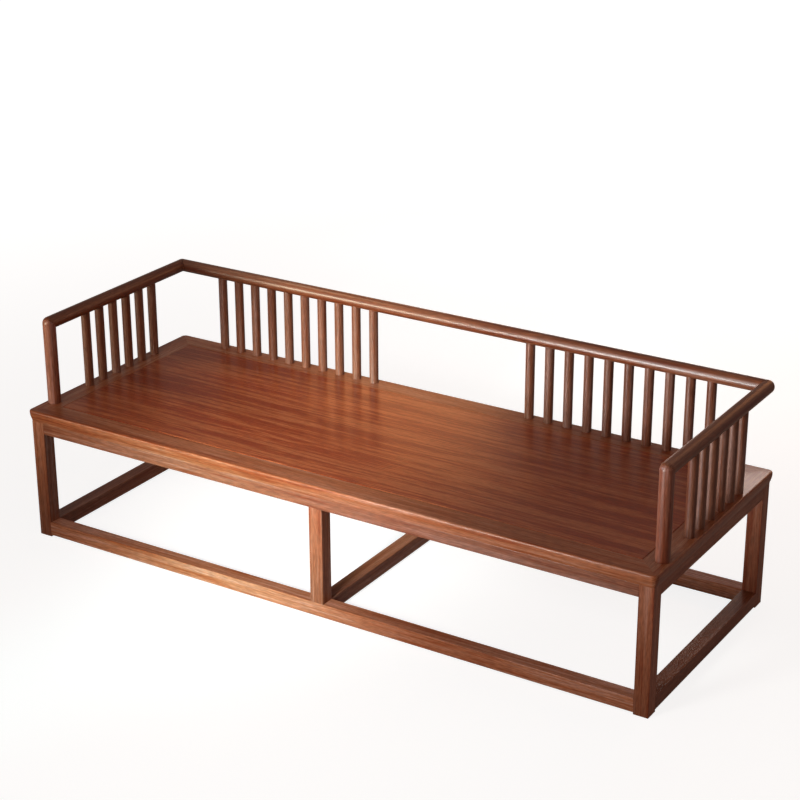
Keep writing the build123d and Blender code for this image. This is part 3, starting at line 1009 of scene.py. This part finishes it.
def pale_floor(colour, lift, in_gloss):
    """A large plain floor at height 0 that fades to white to the camera.

    It glows by lift near the bed and by 1, which is white, from the end of FADE_REACH out.
    """
    corners = [(x * FLOOR_REACH, y * FLOOR_REACH, 0) for x, y in ((-1, -1), (1, -1), (1, 1), (-1, 1))]
    mesh = bpy.data.meshes.new("floor")
    mesh.from_pydata(corners, [], [(0, 1, 2, 3)])
    floor = bpy.data.objects.new("floor", mesh)
    bpy.context.scene.collection.objects.link(floor)
    material = bpy.data.materials.new("pale_floor")
    material.use_nodes = True
    tree = material.node_tree
    shader = tree.nodes["Principled BSDF"]
    shader.inputs["Base Color"].default_value = (*colour, 1.0)
    shader.inputs["Roughness"].default_value = FLOOR_ROUGHNESS
    shader.inputs["Specular IOR Level"].default_value = 0.0
    shader.inputs["Emission Color"].default_value = WHITE
    place = add_node(tree, "ShaderNodeTexCoord", (-1200, -500))
    reach = add_node(tree, "ShaderNodeVectorMath", (-1000, -500), operation="LENGTH")
    tree.links.new(place.outputs["Object"], reach.inputs[0])
    paler = spread(tree, reach.outputs["Value"], *FADE_REACH, (-800, -500), (lift, 1.0))
    seen = seen_by_camera_or_gloss(tree, in_gloss)
    lifted = calculate(tree, "MULTIPLY", seen, paler, (-200, -300))
    tree.links.new(lifted, shader.inputs["Emission Strength"])
    mesh.materials.append(material)


def seen_by_camera_or_gloss(tree, in_gloss):
    """1 for what the camera sees directly, and in_gloss for what it sees in gloss or through glass."""
    path = add_node(tree, "ShaderNodeLightPath", (-900, 300))
    mirrored = calculate(
        tree, "ADD", path.outputs["Is Glossy Ray"], path.outputs["Is Transmission Ray"], (-700, 150)
    )
    dimmed = calculate(tree, "MULTIPLY", mirrored, in_gloss, (-550, 150))
    seen = calculate(tree, "ADD", path.outputs["Is Camera Ray"], dimmed, (-400, 300))
    seen.node.use_clamp = True
    return seen


def room_light(strength, in_gloss):
    """Even light from all round, which the camera sees as a plain white backdrop."""
    world = bpy.data.worlds.new("room")
    world.use_nodes = True
    tree = world.node_tree
    tree.nodes.clear()
    seen = seen_by_camera_or_gloss(tree, in_gloss)
    even = add_node(tree, "ShaderNodeBackground", (-200, 100), Color=ROOM_TINT, Strength=strength)
    white = add_node(tree, "ShaderNodeBackground", (-200, -100), Color=WHITE, Strength=1.0)
    choose = add_node(tree, "ShaderNodeMixShader", (50, 0))
    output = add_node(tree, "ShaderNodeOutputWorld", (250, 0))
    tree.links.new(seen, choose.inputs[0])
    tree.links.new(even.outputs[0], choose.inputs[1])
    tree.links.new(white.outputs[0], choose.inputs[2])
    tree.links.new(choose.outputs[0], output.inputs["Surface"])
    bpy.context.scene.world = world


CAMERA_PLACE = (2.72859, -4.28265, 2.59469)
CAMERA_HEADING = 0.5602  # radians, to the left of straight ahead along Y
CAMERA_DIP = 0.3887  # radians, below level
CAMERA_ROLL = -0.0027  # radians
SENSOR_WIDTH = 36.0  # millimetres


def add_camera(focal_length):
    """The scene's camera."""
    lens = bpy.data.cameras.new("camera")
    lens.sensor_width = SENSOR_WIDTH
    lens.lens = focal_length
    camera = bpy.data.objects.new("camera", lens)
    bpy.context.scene.collection.objects.link(camera)
    turn = (
        Matrix.Rotation(CAMERA_HEADING, 4, "Z")
        @ Matrix.Rotation(math.pi / 2 - CAMERA_DIP, 4, "X")
        @ Matrix.Rotation(CAMERA_ROLL, 4, "Z")
    )
    camera.matrix_world = Matrix.Translation(CAMERA_PLACE) @ turn
    bpy.context.scene.camera = camera


class DAYBED_OT_stage(bpy.types.Operator):
    """Set up the floor, the lamps, the room light and the camera"""

    bl_idname = "daybed.stage"
    bl_label = "Studio stage"

    def execute(self, context):
        stage = context.scene.daybed_stage
        pale_floor(stage.floor, stage.floor_lift, stage.backdrop_in_gloss)
        room_light(stage.sky, stage.backdrop_in_gloss)
        for name, *lamp in LAMPS:
            add_lamp(name, *lamp, power=getattr(stage, name))
        add_camera(stage.focal_length)
        context.scene.view_settings.view_transform = "Standard"
        return {"FINISHED"}


# ---------------------------------------------------------------- sidebar and registration
PIECE_OPERATORS = (
    DAYBED_OT_stage,
    DAYBED_OT_seat_frame,
    DAYBED_OT_seat_panel,
    DAYBED_OT_base,
    DAYBED_OT_rails,
    DAYBED_OT_posts,
    DAYBED_OT_back_spindles,
    DAYBED_OT_arm_spindles,
)
SETTINGS = (
    ("daybed_timber", TimberLook),
    ("daybed_gallery", GalleryShape),
    ("daybed_stage", StageLook),
)


class DAYBED_PT_sidebar(bpy.types.Panel):
    """Settings and pieces of the daybed"""

    bl_idname = "DAYBED_PT_sidebar"
    bl_label = "Luohan daybed"
    bl_space_type = "VIEW_3D"
    bl_region_type = "UI"
    bl_category = "Daybed"

    def draw(self, context):
        layout = self.layout
        for pointer, group in SETTINGS:
            box = layout.box()
            for name in group.__annotations__:
                box.prop(getattr(context.scene, pointer), name)
        for operator in PIECE_OPERATORS:
            layout.operator(operator.bl_idname)


CLASSES = (*[group for _, group in SETTINGS], *PIECE_OPERATORS, DAYBED_PT_sidebar)


def register():
    for entry in CLASSES:
        bpy.utils.register_class(entry)
    for pointer, group in SETTINGS:
        setattr(bpy.types.Scene, pointer, PointerProperty(type=group))


def unregister():
    for pointer, _ in SETTINGS:
        delattr(bpy.types.Scene, pointer)
    for entry in reversed(CLASSES):
        bpy.utils.unregister_class(entry)


def main():
    register()
    for operator in PIECE_OPERATORS:
        family, name = operator.bl_idname.split(".")
        getattr(getattr(bpy.ops, family), name)()


if __name__ == "__main__":
    main()
